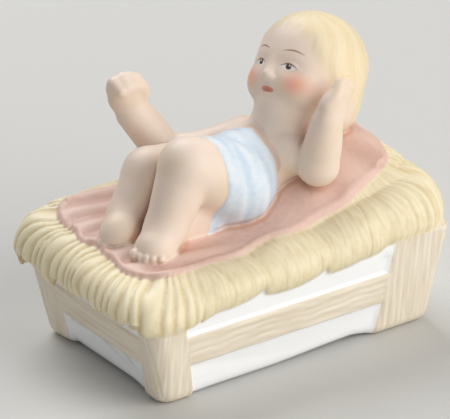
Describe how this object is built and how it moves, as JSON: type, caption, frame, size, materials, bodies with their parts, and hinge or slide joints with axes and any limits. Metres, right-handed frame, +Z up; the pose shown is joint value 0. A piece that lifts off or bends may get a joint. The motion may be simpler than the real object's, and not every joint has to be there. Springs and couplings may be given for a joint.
{
  "type": "nativity baby figurine",
  "caption": "Hand-painted bisque porcelain figurine of a baby in a blue wrap lying on a pink blanket over straw in a small wooden manger crate, cast as one piece.",
  "frame": {"origin": "centre of the crate's footprint box, on the surface that its feet stand on", "axes": "+X along the crate from the baby's feet to its head, -Y out of the long side that the picture shows, +Z up"},
  "size_m": [0.0966, 0.0652, 0.0791],
  "materials": {
    "painted_bisque": "matte painted bisque porcelain with glossy white glaze on the crate's recessed panels"
  },
  "bodies": {
    "root": {"baby_jesus_in_manger": "painted_bisque"}
  },
  "joints": []
}
